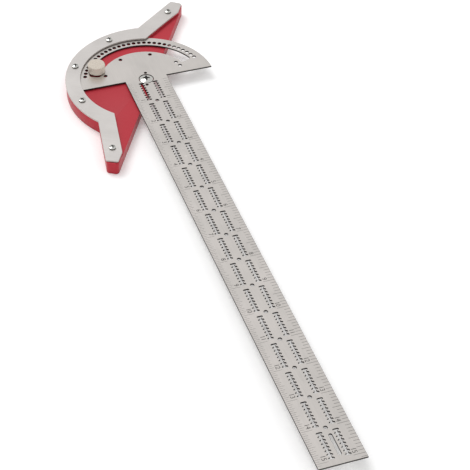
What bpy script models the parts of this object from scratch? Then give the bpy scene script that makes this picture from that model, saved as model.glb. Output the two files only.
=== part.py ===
# Protractor T-square: a steel rule with a half-disc end swings on an aluminium head
# and is held under a steel cover frame. X runs along the fence, Y into the head, Z up.
# The pivot axis passes through the origin and the head's underside is at Z = 0.

import math

import bmesh
import bpy
from mathutils import Matrix

MM = 0.001
GAP = 0.3 * MM  # clearance between neighbouring pieces
WELD = 0.001 * MM

# Heights
PLATE_THICK = 1.2 * MM
FLOOR_Z = 7.9 * MM  # pocket floor above the underside
COVER_THICK = 1.3 * MM
PLATE_Z = FLOOR_Z + GAP
RIM_Z = PLATE_Z + PLATE_THICK
COVER_Z = RIM_Z + GAP

# Rule
BLADE_WIDTH = 31.75 * MM
SCALE_LENGTH = 381.0 * MM
SCALE_INCHES = 15
INCH = SCALE_LENGTH / SCALE_INCHES
BLADE_MARGIN = 0.2 * MM  # sheet left past the last inch line
DISC_R = 51.4 * MM
DISC_FLAT_Y = 0.6 * MM
FENCE = 4.6 * MM  # pivot axis to the fence face, and to the blade's first inch step
SWING = math.radians(59.0)  # turn from square at rest

# Cover frame and pocket round the half-disc
DISC_CLEAR = 0.4 * MM
COVER_LAP = 2.6 * MM  # the cover laps over the disc's edge by this
COVER_BAND = 10.9 * MM  # cover width at the middle of the back
BACK_CENTRE_Y = -4.7 * MM  # the back's outer arc is struck from here
POCKET_R = DISC_R + DISC_CLEAR
COVER_INNER_R = DISC_R - COVER_LAP
COVER_BACK_R = COVER_INNER_R + COVER_BAND - BACK_CENTRE_Y

# Horns
HORN_SLOPE = -0.4  # both long edges of a horn
HORN_TURN = math.degrees(math.atan(HORN_SLOPE))
HORN_WIDTH = 12.6 * MM
COVER_FENCE_INSET = 0.4 * MM
HORN_INNER = (88.1 * MM, COVER_FENCE_INSET - FENCE)  # where the cover's inner edge ends
BODY_TIP_X = 100.6 * MM
BODY_INSET = 0.6 * MM  # the body stands inside the cover's long edges by this
TIP_ROUND = 2.5 * MM
COVER_TIP_INSET = 0.8 * MM
COVER_TIP_LEAN = 0.6 * MM
COVER_TIP_X = BODY_TIP_X - COVER_TIP_INSET
POCKET_REACH = 12.0 * MM  # the pocket cut runs out past the fence by this
EDGE_BREAK = 0.35 * MM
EDGE_BREAK_FROM = 50  # degrees

# Holes of the half-disc
RING_TO_COVER = 3.4 * MM
RING_HOLE_R = 1.4 * MM
RING_FIRST = 20
RING_LAST = 160
RING_PITCH = 5
SLOT_TO_RING = 3.1 * MM
SLOT_WIDTH = 8.4 * MM
SLOT_END = 20.3  # degrees from the disc's flat
SLOT_ROUND = 2.0 * MM
INDEX_TO_SLOT = 3.5 * MM
INDEX_ANGLES = (16.2, 25.5, 67.5, 112.5, 156.6)
INDEX_HOLE_R = 1.4 * MM
SETTING_HOLE = (1.58 * MM, 7.08 * MM)  # a second one lies opposite, across the pivot
SETTING_HOLE_R = 1.1 * MM
RING_R = COVER_INNER_R - RING_TO_COVER
SLOT_OUTER_R = RING_R - SLOT_TO_RING
SLOT_INNER_R = SLOT_OUTER_R - SLOT_WIDTH
INDEX_R = SLOT_INNER_R - INDEX_TO_SLOT

# Holes of the blade
COLUMN_X = 5.3 * MM  # centre line of each column of pencil combs
STEPS_PER_INCH = 9
COMB_RUNGS = 8  # pairs of notches in each inch's comb
COMB_SPINE = 1.2 * MM  # width of the comb between its notches
RUNG_LENGTH = 4.0 * MM  # from a notch's tip across to the opposite one
RUNG_WIDTH = 1.4 * MM  # of the first and the last rung
COMB_DROP = 0.3 * MM  # from an inch step to its comb's first rung
COMB_BOW = 0.05 * MM  # middle notches reach this much further, as the fill needs tips off one line
DOT_R = 1.35 * MM
END_SLOT_WIDTH = 2.2 * MM
END_SLOT_TO_STEP = 2.3 * MM  # from the last inch step
END_SLOT_TO_EDGE = 6.3 * MM
END_SLOT_X = 0.7 * MM
MARK_PITCH = INCH / STEPS_PER_INCH

# Fasteners
PIVOT_HEAD_R = 5.2 * MM
PIVOT_SHANK_R = 2.5 * MM
PIVOT_PROUD = 1.2 * MM
PIVOT_TIP_Z = 2.5 * MM
SCREW_HEAD_R = 2.5 * MM
SCREW_HEAD_H = 1.3 * MM
SCREW_EDGE_H = 0.6 * MM
SCREW_SHANK_R = 1.25 * MM
SCREW_TIP_Z = 4.5 * MM
SCREW_FROM_POCKET = 2.7 * MM
SCREW_ANGLES = (45, 90, 135)
SCREW_FROM_TIP = 14.1 * MM  # horn screws, from the cover's end
HOLE_BELOW = 0.6 * MM  # blind holes run on past a shank's tip
TIP_EASE = 0.3  # chamfer at a shank's tip, in shank radii
RECESS_ARM = 0.13  # half width of a cross recess's arm, in head radii
RECESS_SPAN = 0.62  # reach of an arm, in head radii
RECESS_DEPTH = 0.9 * MM
SCREW_RING_R = POCKET_R + SCREW_FROM_POCKET

# Lock knob
KNOB_R = 6.4 * MM
KNOB_H = 6.7 * MM
COLLAR_R = 5.1 * MM
COLLAR_H = 1.0 * MM
KNOB_CHAMFER = 0.5 * MM
STUD_R = 2.0 * MM
STUD_TIP_Z = 2.8 * MM
KNOB_RING_R = (SLOT_INNER_R + SLOT_OUTER_R) / 2

# Facet counts
BACK_STEPS = 48
SLOT_STEPS = 22
CORNER_STEPS = 4
TURN_STEPS = 26
SCREW_STEPS = 14
DOME_STEPS = 3
HOLE_STEPS = 12
SMALL_HOLE_STEPS = 8
SMOOTH_BELOW = 30  # degrees between facets that are shaded as one surface


for leftover in list(bpy.data.objects):
    bpy.data.objects.remove(leftover, do_unlink=True)


def new_collection(name):
    collection = bpy.data.collections.new(name)
    bpy.context.scene.collection.children.link(collection)
    return collection


PARTS = new_collection("t_square")
CUTTERS = new_collection("cutters")


def make_material(name, colour, roughness, metallic):
    material = bpy.data.materials.new(name)
    material.use_nodes = True
    shader = material.node_tree.nodes["Principled BSDF"]
    shader.inputs["Base Color"].default_value = (*colour, 1.0)
    shader.inputs["Roughness"].default_value = roughness
    shader.inputs["Metallic"].default_value = metallic
    material.diffuse_color = (*colour, 1.0)
    return material


RED_ALUMINIUM = make_material("red_anodised_aluminium", (0.47, 0.018, 0.03), 0.42, 0.35)
SATIN_STEEL = make_material("satin_stainless_steel", (0.58, 0.56, 0.53), 0.38, 0.9)
BRIGHT_STEEL = make_material("bright_nickel_plate", (0.68, 0.67, 0.65), 0.18, 1.0)
KNOB_METAL = make_material("warm_nickel_knob", (0.60, 0.53, 0.45), 0.32, 0.9)


# Outlines

def polar(radius, degrees):
    angle = math.radians(degrees)
    return (radius * math.cos(angle), radius * math.sin(angle))


def arc(centre, radius, start, end, steps):
    points = []
    for step in range(steps + 1):
        x, y = polar(radius, start + (end - start) * step / steps)
        points.append((centre[0] + x, centre[1] + y))
    return points


def ring(centre, radius, steps):
    return arc(centre, radius, 0, 360, steps)[:-1]


def mirrored(half):
    """A right half that ends on the Y axis, completed with its mirror image."""
    return half + [(-x, y) for x, y in reversed(half[:-1])]


def meet(centre_y, radius, point):
    """Where a horn's long edge through a point crosses a circle centred on the Y axis."""
    rise = point[1] - centre_y - HORN_SLOPE * point[0]
    a = 1 + HORN_SLOPE * HORN_SLOPE
    b = HORN_SLOPE * rise
    x = (-b + math.sqrt(b * b - a * (rise * rise - radius * radius))) / a
    return along_horn(point, x)


def angle_about(centre_y, point):
    return math.degrees(math.atan2(point[1] - centre_y, point[0]))


def shifted(point, distance):
    """A point moved square to a horn's long edge, outward when positive."""
    x, y = polar(distance, 90 + HORN_TURN)
    return (point[0] + x, point[1] + y)


def along_horn(point, x):
    return (x, point[1] + HORN_SLOPE * (x - point[0]))


def back_arc(radius, elbow):
    start = angle_about(BACK_CENTRE_Y, elbow)
    return arc((0, BACK_CENTRE_Y), radius, start, 90, BACK_STEPS // 2)


def body_outline():
    edge = shifted(HORN_INNER, HORN_WIDTH - BODY_INSET)
    radius = COVER_BACK_R - BODY_INSET
    elbow = meet(BACK_CENTRE_Y, radius, edge)
    corner_x = BODY_TIP_X - TIP_ROUND
    tip_y = along_horn(edge, corner_x)[1] - TIP_ROUND
    half = arc((corner_x, TIP_ROUND - FENCE), TIP_ROUND, -90, 0, CORNER_STEPS)
    half += arc((corner_x, tip_y), TIP_ROUND, 0, 90 + HORN_TURN, CORNER_STEPS)
    half += back_arc(radius, elbow)
    return mirrored(half)


def cover_outline():
    edge = shifted(HORN_INNER, HORN_WIDTH)
    inner = meet(0, COVER_INNER_R, HORN_INNER)
    elbow = meet(BACK_CENTRE_Y, COVER_BACK_R, edge)
    half = arc((0, 0), COVER_INNER_R, 90, angle_about(0, inner), BACK_STEPS // 2)
    half += [HORN_INNER, (COVER_TIP_X - COVER_TIP_LEAN, HORN_INNER[1]), along_horn(edge, COVER_TIP_X)]
    half += back_arc(COVER_BACK_R, elbow)
    return half + [(-x, y) for x, y in reversed(half[1:-1])]


def pocket_outline():
    edge = shifted(HORN_INNER, GAP)
    corner = meet(0, POCKET_R, edge)
    far_y = -FENCE - POCKET_REACH
    mouth = (edge[0] + (far_y - edge[1]) / HORN_SLOPE, far_y)
    return mirrored([mouth] + arc((0, 0), POCKET_R, angle_about(0, corner), 90, BACK_STEPS // 2))


def slot_outline():
    """The half-disc's arc slot, with rounded corners at its two ends."""
    outer_r = SLOT_OUTER_R - SLOT_ROUND
    inner_r = SLOT_INNER_R + SLOT_ROUND
    outer_turn = SLOT_END + math.degrees(SLOT_ROUND / outer_r)
    inner_turn = SLOT_END + math.degrees(SLOT_ROUND / inner_r)
    inner_corner = polar(inner_r, inner_turn)
    outer_corner = polar(outer_r, outer_turn)
    half = arc((0, 0), SLOT_INNER_R, 90, inner_turn, SLOT_STEPS)
    half += arc(inner_corner, SLOT_ROUND, inner_turn - 180, inner_turn - 90, CORNER_STEPS)[1:]
    half += arc(outer_corner, SLOT_ROUND, outer_turn - 90, outer_turn, CORNER_STEPS)
    half += arc((0, 0), SLOT_OUTER_R, outer_turn, 90, SLOT_STEPS)[1:]
    return half + [(-x, y) for x, y in reversed(half[1:-1])]


def end_slot_outline(end_y):
    """A straight slot with round ends, along the blade between its last rungs and its end."""
    end_r = END_SLOT_WIDTH / 2
    top_y = end_y + BLADE_MARGIN + INCH - END_SLOT_TO_STEP - end_r
    low_y = end_y + END_SLOT_TO_EDGE + end_r
    top = arc((END_SLOT_X, top_y), end_r, 0, 180, CORNER_STEPS)
    return top + arc((END_SLOT_X, low_y), end_r, 180, 360, CORNER_STEPS)


def comb_outline(column, first_y):
    """A slot with a notch on both sides at every step, where a pencil point can rest."""
    corner_x = (RUNG_LENGTH - RUNG_WIDTH) / 2
    half = [(corner_x, first_y + RUNG_WIDTH / 2), (RUNG_LENGTH / 2, first_y)]
    for rung in range(1, COMB_RUNGS):
        rung_y = first_y - rung * MARK_PITCH
        bow = COMB_BOW * math.sin(math.pi * rung / (COMB_RUNGS - 1))
        half += [(COMB_SPINE / 2, rung_y + MARK_PITCH / 2), (RUNG_LENGTH / 2 + bow, rung_y)]
    half.append((corner_x, rung_y - RUNG_WIDTH / 2))
    return [(column + x, y) for x, y in half] + [(column - x, y) for x, y in reversed(half)]


def cross_outline(half_width, reach):
    quarter = [(reach, -half_width), (reach, half_width), (half_width, half_width)]
    points = []
    for turn in range(4):
        cosine = round(math.cos(turn * math.pi / 2))
        sine = round(math.sin(turn * math.pi / 2))
        points += [(cosine * x - sine * y, sine * x + cosine * y) for x, y in quarter]
    return points


def disc_holes():
    outlines = [slot_outline(), ring((0, 0), PIVOT_HEAD_R + GAP, TURN_STEPS)]
    for degrees in range(RING_FIRST, RING_LAST + 1, RING_PITCH):
        outlines.append(ring(polar(RING_R, degrees), RING_HOLE_R, SMALL_HOLE_STEPS))
    for degrees in INDEX_ANGLES:
        outlines.append(ring(polar(INDEX_R, degrees), INDEX_HOLE_R, SMALL_HOLE_STEPS))
    for side in (1, -1):
        setting = (side * SETTING_HOLE[0], side * SETTING_HOLE[1])
        outlines.append(ring(setting, SETTING_HOLE_R, SMALL_HOLE_STEPS))
    return outlines


def blade_holes(end_y):
    outlines = []
    for inch in range(SCALE_INCHES):
        step_y = -(FENCE + inch * INCH)
        if inch:
            outlines.append(ring((0, step_y + MARK_PITCH), DOT_R, SMALL_HOLE_STEPS))
        outlines += [comb_outline(column, step_y - COMB_DROP) for column in (-COLUMN_X, COLUMN_X)]
    outlines.append(end_slot_outline(end_y))
    return outlines


def rule_outlines():
    half_width = BLADE_WIDTH / 2
    end_y = -(FENCE + SCALE_LENGTH + BLADE_MARGIN)
    flat_turn = math.degrees(math.asin(DISC_FLAT_Y / DISC_R))
    edge = arc((0, 0), DISC_R, flat_turn, 180 - flat_turn, BACK_STEPS)
    edge += [(-half_width, DISC_FLAT_Y), (-half_width, end_y), (half_width, end_y), (half_width, DISC_FLAT_Y)]
    return [edge] + disc_holes() + blade_holes(end_y)


# Solids

def finished(name, shape, collection, material, scale=1):
    """The shape's evaluated mesh, scaled and closed, in an object of its own."""
    CUTTERS.objects.link(shape)
    bpy.context.view_layer.update()
    mesh = bpy.data.meshes.new_from_object(shape.evaluated_get(bpy.context.evaluated_depsgraph_get()))
    bpy.data.objects.remove(shape, do_unlink=True)
    mesh.transform(Matrix.Scale(scale, 4))
    closed = bmesh.new()
    closed.from_mesh(mesh)
    bmesh.ops.remove_doubles(closed, verts=closed.verts, dist=WELD)
    bmesh.ops.recalc_face_normals(closed, faces=closed.faces)
    closed.to_mesh(mesh)
    closed.free()
    mesh.shade_smooth()
    mesh.set_sharp_from_angle(angle=math.radians(SMOOTH_BELOW))
    mesh.materials.clear()
    if material:
        mesh.materials.append(material)
    mesh.name = name
    piece = bpy.data.objects.new(name, mesh)
    collection.objects.link(piece)
    return piece


def flat_piece(name, outlines, bottom, thick, collection, material=None):
    """A sheet with the first outline's shape and the others as holes, standing on a height.

    It is drawn a unit to the millimetre, because the fill of a curve joins points that
    lie closer than a fixed small distance.
    """
    curve = bpy.data.curves.new(name, "CURVE")
    curve.dimensions = "2D"
    curve.fill_mode = "BOTH"
    curve.extrude = thick / 2 / MM
    for outline in outlines:
        spline = curve.splines.new("POLY")
        spline.points.add(len(outline) - 1)
        for point, (x, y) in zip(spline.points, outline):
            point.co = (x / MM, y / MM, 0, 1)
        spline.use_cyclic_u = True
    drawn = bpy.data.objects.new(name + "_shape", curve)
    piece = finished(name, drawn, collection, material, MM)
    piece.location = (0, 0, bottom + thick / 2)
    return piece


def turned_piece(name, profile, steps, material):
    """A solid turned about Z from a profile of (radius, height) pairs, top to bottom."""
    mesh = bpy.data.meshes.new(name + "_profile")
    points = [(radius, 0, height) for radius, height in profile]
    edges = [(index, index + 1) for index in range(len(points) - 1)]
    mesh.from_pydata(points, edges, [])
    shape = bpy.data.objects.new(name + "_shape", mesh)
    turn = shape.modifiers.new("turn", "SCREW")
    turn.axis = "Z"
    turn.angle = math.tau
    turn.steps = steps
    turn.render_steps = steps
    turn.use_merge_vertices = True
    turn.merge_threshold = WELD
    turn.use_normal_calculate = True
    return finished(name, shape, PARTS, material)


def as_cutter(piece):
    piece.hide_render = True
    piece.display_type = "WIRE"
    return piece


def cut(piece, cutter, name):
    change = piece.modifiers.new(name, "BOOLEAN")
    change.operation = "DIFFERENCE"
    change.solver = "EXACT"
    change.use_self = True
    change.object = cutter


def hole_cutter(name, holes, top):
    """One cutter made of several upright cylinders of (x, y, radius, bottom)."""
    cylinders = bmesh.new()
    for x, y, radius, bottom in holes:
        place = Matrix.Translation((x, y, (bottom + top) / 2))
        bmesh.ops.create_cone(cylinders, cap_ends=True, segments=HOLE_STEPS, radius1=radius,
                              radius2=radius, depth=top - bottom, matrix=place)
    mesh = bpy.data.meshes.new(name)
    cylinders.to_mesh(mesh)
    cylinders.free()
    cutter = bpy.data.objects.new(name, mesh)
    CUTTERS.objects.link(cutter)
    return as_cutter(cutter)


def screw_places():
    """Right horn, three on the back, left horn."""
    middle = along_horn(shifted(HORN_INNER, HORN_WIDTH / 2), COVER_TIP_X - SCREW_FROM_TIP)
    back = [polar(SCREW_RING_R, degrees) for degrees in SCREW_ANGLES]
    return [middle] + back + [(-middle[0], middle[1])]


def make_head_body():
    """Aluminium head: a raised rim round a shallow pocket that is open along the fence."""
    body = flat_piece("head_body", [body_outline()], 0, RIM_Z, PARTS, RED_ALUMINIUM)
    pocket_h = 2 * (RIM_Z - FLOOR_Z)
    pocket = flat_piece("pocket_cutter", [pocket_outline()], FLOOR_Z, pocket_h, CUTTERS)
    cut(body, as_cutter(pocket), "pocket")
    ease = body.modifiers.new("eased_edges", "BEVEL")
    ease.width = EDGE_BREAK
    ease.segments = 1
    ease.limit_method = "ANGLE"
    ease.angle_limit = math.radians(EDGE_BREAK_FROM)
    holes = [(x, y, SCREW_SHANK_R + GAP, SCREW_TIP_Z - HOLE_BELOW) for x, y in screw_places()]
    holes.append((0, 0, PIVOT_SHANK_R + GAP, PIVOT_TIP_Z - HOLE_BELOW))
    holes.append((0, KNOB_RING_R, STUD_R + GAP, STUD_TIP_Z - HOLE_BELOW))
    cut(body, hole_cutter("body_hole_cutter", holes, RIM_Z + COVER_THICK), "blind_holes")
    return body


def make_cover_frame():
    """Steel cover that bridges the rim and laps over the half-disc's edge."""
    holes = [ring(place, SCREW_SHANK_R + GAP, HOLE_STEPS) for place in screw_places()]
    return flat_piece("cover_frame", [cover_outline()] + holes, COVER_Z, COVER_THICK, PARTS, SATIN_STEEL)


def dome(radius, edge_h, top_h):
    """Profile of a screw's domed top, from its middle out to its edge."""
    rise = top_h - edge_h
    dome_r = (radius * radius + rise * rise) / (2 * rise)
    points = []
    for step in range(DOME_STEPS + 1):
        x = radius * step / DOME_STEPS
        points.append((x, top_h - dome_r + math.sqrt(dome_r * dome_r - x * x)))
    return points


def shank(radius, length):
    ease = radius * TIP_EASE
    return [(radius, 0), (radius, ease - length), (radius - ease, -length), (0, -length)]


def cross_cutter(name, head_r, place, top):
    outline = cross_outline(head_r * RECESS_ARM, head_r * RECESS_SPAN)
    cutter = flat_piece(name, [outline], top - RECESS_DEPTH, 2 * RECESS_DEPTH, CUTTERS)
    cutter.location.x, cutter.location.y = place
    return as_cutter(cutter)


def make_frame_screws():
    """Five alike cross-recess screws that hold the cover on the rim."""
    seat = COVER_Z + COVER_THICK + GAP
    profile = dome(SCREW_HEAD_R, SCREW_EDGE_H, SCREW_HEAD_H) + [(SCREW_HEAD_R, 0)]
    profile += shank(SCREW_SHANK_R, seat - SCREW_TIP_Z)
    for number, place in enumerate(screw_places(), start=1):
        screw = turned_piece(f"frame_screw_{number}", profile, SCREW_STEPS, BRIGHT_STEEL)
        screw.location = (*place, seat)
        recess = cross_cutter(f"frame_recess_cutter_{number}", SCREW_HEAD_R, place, seat + SCREW_HEAD_H)
        cut(screw, recess, "cross_recess")


def make_pivot_screw():
    """Large low-domed cross-recess screw; the rule turns round its head."""
    head_h = PLATE_THICK + PIVOT_PROUD
    profile = dome(PIVOT_HEAD_R, PLATE_THICK, head_h) + [(PIVOT_HEAD_R, 0)]
    profile += shank(PIVOT_SHANK_R, PLATE_Z - PIVOT_TIP_Z)
    screw = turned_piece("pivot_screw", profile, TURN_STEPS, BRIGHT_STEEL)
    screw.location = (0, 0, PLATE_Z)
    cut(screw, cross_cutter("pivot_recess_cutter", PIVOT_HEAD_R, (0, 0), PLATE_Z + head_h), "cross_recess")


def make_lock_knob():
    """Round lock knob in one with its stud, which passes through the arc slot into the head."""
    seat = RIM_Z + GAP
    chamfer_r = KNOB_R - KNOB_CHAMFER
    profile = [(0, KNOB_H), (chamfer_r, KNOB_H), (KNOB_R, KNOB_H - KNOB_CHAMFER)]
    profile += [(KNOB_R, COLLAR_H + KNOB_CHAMFER), (chamfer_r, COLLAR_H)]
    profile += [(COLLAR_R, COLLAR_H), (COLLAR_R, 0)]
    profile += shank(STUD_R, seat - STUD_TIP_Z)
    knob = turned_piece("lock_knob", profile, TURN_STEPS, KNOB_METAL)
    knob.location = (0, KNOB_RING_R, seat)
    return knob


def make_rule():
    """Blade and half-disc cut from one steel sheet; it turns about the pivot axis."""
    rule = flat_piece("protractor_rule", rule_outlines(), PLATE_Z, PLATE_THICK, PARTS, SATIN_STEEL)
    rule.rotation_euler = (0, 0, -SWING)
    return rule


make_head_body()
make_cover_frame()
make_frame_screws()
make_rule()
make_pivot_screw()
make_lock_knob()
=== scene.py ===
# %% [markdown]
# # A protractor T-square, dressed for its portrait
# The solids that carry the size and the motion of this tool are already made. Each is a plain
# body with facets and no finish. Here every one gets a finely shaped piece that stands for it,
# with a finish that says how the real piece was made: cut, brushed, anodised, turned or plated.
# The tool has a red head, a steel rule with a half-disc end that swings on it, a steel frame
# that holds the rule down, five small screws, a large pivot screw and a lock knob.

# %% Load the solids and note their size
import math

import bpy
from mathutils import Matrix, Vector


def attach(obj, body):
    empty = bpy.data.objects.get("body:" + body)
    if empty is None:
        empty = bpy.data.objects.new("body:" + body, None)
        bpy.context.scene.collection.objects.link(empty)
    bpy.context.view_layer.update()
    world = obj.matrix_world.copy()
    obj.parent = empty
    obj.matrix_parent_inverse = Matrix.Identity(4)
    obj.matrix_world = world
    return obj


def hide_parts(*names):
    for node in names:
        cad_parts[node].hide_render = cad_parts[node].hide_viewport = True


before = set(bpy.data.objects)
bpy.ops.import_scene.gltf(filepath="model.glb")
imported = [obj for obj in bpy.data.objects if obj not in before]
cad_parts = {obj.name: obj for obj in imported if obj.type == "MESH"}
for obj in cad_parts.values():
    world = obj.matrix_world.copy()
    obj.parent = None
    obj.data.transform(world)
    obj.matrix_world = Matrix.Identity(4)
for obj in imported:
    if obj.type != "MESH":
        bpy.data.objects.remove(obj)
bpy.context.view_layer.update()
print("solids:", sorted(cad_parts))

# %% [markdown]
# ## Sizes
# Blender counts in metres, so a size is written as a number of millimetres times MM. The tool
# is a stack of flat layers: the pocket's floor, the rule that slides on it, and the frame over
# the rule. Each layer starts a small gap above the one below, as two loose plates really lie.
# Every piece is made square to the head's fence: X runs along the fence, Y into the head, and
# the rule turns about the origin.

# %% The layers and the plan
MM = 0.001
INCH = 25.4 * MM
GAP = 0.3 * MM
FLOOR_Z = 7.9 * MM
PLATE_Z = FLOOR_Z + GAP
PLATE_TOP = PLATE_Z + 1.2 * MM
COVER_Z = PLATE_TOP + GAP
COVER_TOP = COVER_Z + 1.3 * MM
SCREW_SEAT = COVER_TOP + GAP
FENCE = 4.6 * MM
SWING = math.radians(59.0)
print("top of the frame in mm:", round(COVER_TOP / MM, 2))

# %% [markdown]
# ## How a finish is written
# Colours are picked as they look on a screen, in hex. Shaders count in linear light, so one
# function turns them. A second one adds a shader node with its settings, its inputs and, for a
# colour ramp, its stops. A third starts a material. With these a finish stays short to read.

# %% Colours and nodes
def colour(hex_value):
    """A screen colour as linear red, green, blue and alpha."""
    parts = [int(hex_value[start:start + 2], 16) / 255 for start in (1, 3, 5)]
    linear = [part / 12.92 if part <= 0.04045 else ((part + 0.055) / 1.055) ** 2.4 for part in parts]
    return linear + [1.0]


def add_node(tree, kind, settings=None, inputs=None, ramp=()):
    """A node with its settings, inputs that are values or other nodes' outputs, and a ramp's stops."""
    node = tree.nodes.new(kind)
    for name, value in (settings or {}).items():
        setattr(node, name, value)
    for name, value in (inputs or {}).items():
        if isinstance(value, bpy.types.NodeSocket):
            tree.links.new(value, node.inputs[name])
        else:
            node.inputs[name].default_value = value
    for stop, (position, hex_value) in zip(node.color_ramp.elements if ramp else (), ramp):
        stop.position = position
        stop.color = colour(hex_value)
    return node


def new_finish(name, **values):
    """A material, its node tree and its main shader with the given values."""
    finish = bpy.data.materials.new(name)
    finish.use_nodes = True
    shader = finish.node_tree.nodes["Principled BSDF"]
    for socket, value in values.items():
        shader.inputs[socket.replace("_", " ")].default_value = value
    return finish, finish.node_tree, shader


print("a mid grey in linear light:", round(colour("#808080")[0], 3))

# %% [markdown]
# ## Brushed stainless sheet
# Rule and frame are cut from stainless sheet with a rolled and lightly brushed face: an even,
# warm pale grey with hair-fine lines. Real brush lines lie about 0.05 mm apart, too fine to
# show here, so they are drawn 0.5 mm apart and 17 mm long, and kept faint. A slow cloud, some
# 22 mm across, keeps the broad face from looking like paint. The mapping node is of the
# texture kind, which turns first and then divides by a size, so the sizes stand in it as they
# are, and the lines can follow the blade although the pattern reads the tool's own place.

# %% Brushed stainless
BRUSH_SPACING = 0.5 * MM
BRUSH_LENGTH = 17 * MM
CLOUD_SIZE = 22 * MM


def brushed_stainless(name, turn, deep, pale, roughness):
    finish, tree, shader = new_finish(name, Metallic=1.0)
    place = add_node(tree, "ShaderNodeTexCoord").outputs["Object"]
    along = add_node(tree, "ShaderNodeMapping", {"vector_type": "TEXTURE"}, {
        "Vector": place, "Rotation": (0, 0, turn), "Scale": (BRUSH_SPACING, BRUSH_LENGTH, BRUSH_SPACING)})
    lines = add_node(tree, "ShaderNodeTexNoise", inputs={
        "Vector": along.outputs["Vector"], "Scale": 1.0, "Detail": 3.0, "Roughness": 0.6}).outputs["Fac"]
    cloud = add_node(tree, "ShaderNodeTexNoise", inputs={
        "Vector": place, "Scale": 1 / CLOUD_SIZE, "Detail": 2.0}).outputs["Fac"]
    both = add_node(tree, "ShaderNodeMix", {"data_type": "FLOAT"}, {"Factor": 0.6, "A": lines, "B": cloud})
    tone = add_node(tree, "ShaderNodeValToRGB", inputs={"Fac": both.outputs["Result"]},
                    ramp=((0.35, deep), (0.65, pale)))
    gloss = add_node(tree, "ShaderNodeMapRange", inputs={
        "Value": lines, "To Min": roughness - 0.05, "To Max": roughness + 0.05})
    relief = add_node(tree, "ShaderNodeBump", inputs={
        "Strength": 0.03, "Distance": 0.02 * MM, "Height": lines})
    tree.links.new(tone.outputs["Color"], shader.inputs["Base Color"])
    tree.links.new(gloss.outputs["Result"], shader.inputs["Roughness"])
    tree.links.new(relief.outputs["Normal"], shader.inputs["Normal"])
    return finish


RULE_FACE = brushed_stainless("brushed_stainless_rule", -SWING, "#b9b5b1", "#c3beba", 0.32)
FRAME_FACE = brushed_stainless("brushed_stainless_frame", 0.0, "#bfbbb8", "#cac6c3", 0.32)
print("finishes:", RULE_FACE.name, FRAME_FACE.name)

# %% [markdown]
# ## Laser-cut edges
# The sheet was cut by laser, which leaves the edges and the walls of the holes dull, with fine
# upright drag lines about 0.3 mm apart. The rule's edges and hole walls are painted near black
# as painted shade, which is why every hole in it reads as a drawn dot. The frame's were tumbled
# after cutting and are a light grey.

# %% Cut edges
DRAG_SPACING = 0.3 * MM
DRAG_LENGTH = 3.3 * MM


def laser_cut(name, deep, pale, metal):
    finish, tree, shader = new_finish(name, Metallic=metal, Roughness=0.55)
    place = add_node(tree, "ShaderNodeTexCoord").outputs["Object"]
    upright = add_node(tree, "ShaderNodeMapping", {"vector_type": "TEXTURE"}, {
        "Vector": place, "Scale": (DRAG_SPACING, DRAG_SPACING, DRAG_LENGTH)})
    drag = add_node(tree, "ShaderNodeTexNoise", inputs={
        "Vector": upright.outputs["Vector"], "Scale": 1.0, "Detail": 2.0}).outputs["Fac"]
    tone = add_node(tree, "ShaderNodeValToRGB", inputs={"Fac": drag}, ramp=((0.3, deep), (0.7, pale)))
    relief = add_node(tree, "ShaderNodeBump", inputs={
        "Strength": 0.15, "Distance": 0.03 * MM, "Height": drag})
    tree.links.new(tone.outputs["Color"], shader.inputs["Base Color"])
    tree.links.new(relief.outputs["Normal"], shader.inputs["Normal"])
    return finish


# The rule's walls and chamfers are painted near black: painted shade.
RULE_EDGE_PAINTED_SHADE = laser_cut("laser_cut_painted_shade", "#2b2725", "#403b39", 0.6)
FRAME_EDGE = laser_cut("laser_cut_tumbled", "#b3aca8", "#c6c0bc", 0.9)
print("finishes:", RULE_EDGE_PAINTED_SHADE.name, FRAME_EDGE.name)

# %% [markdown]
# ## Red anodised aluminium
# The head is milled aluminium, bead blasted and anodised red. The dye sits in a clear oxide
# skin on bright metal, so the red is deep and still a little metallic, with a satin sheen. The
# blast grain is about 0.1 mm, drawn here at 0.4 mm so that it can show, and the dye took a
# shade deeper in slow patches of some 33 mm.

# %% Red anodised aluminium
BLAST_GRAIN = 0.4 * MM
DYE_PATCH = 33 * MM


def red_anodised():
    finish, tree, shader = new_finish("red_anodised_aluminium", Metallic=0.4, Roughness=0.4)
    place = add_node(tree, "ShaderNodeTexCoord").outputs["Object"]
    grain = add_node(tree, "ShaderNodeTexNoise", inputs={
        "Vector": place, "Scale": 1 / BLAST_GRAIN, "Detail": 2.0}).outputs["Fac"]
    patch = add_node(tree, "ShaderNodeTexNoise", inputs={
        "Vector": place, "Scale": 1 / DYE_PATCH, "Detail": 1.0}).outputs["Fac"]
    both = add_node(tree, "ShaderNodeMix", {"data_type": "FLOAT"}, {"Factor": 0.4, "A": grain, "B": patch})
    tone = add_node(tree, "ShaderNodeValToRGB", inputs={"Fac": both.outputs["Result"]},
                    ramp=((0.3, "#ab1e2c"), (0.7, "#b62937")))
    relief = add_node(tree, "ShaderNodeBump", inputs={
        "Strength": 0.08, "Distance": 0.03 * MM, "Height": grain})
    tree.links.new(tone.outputs["Color"], shader.inputs["Base Color"])
    tree.links.new(relief.outputs["Normal"], shader.inputs["Normal"])
    return finish


RED_HEAD = red_anodised()
print("finish:", RED_HEAD.name)
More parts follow.
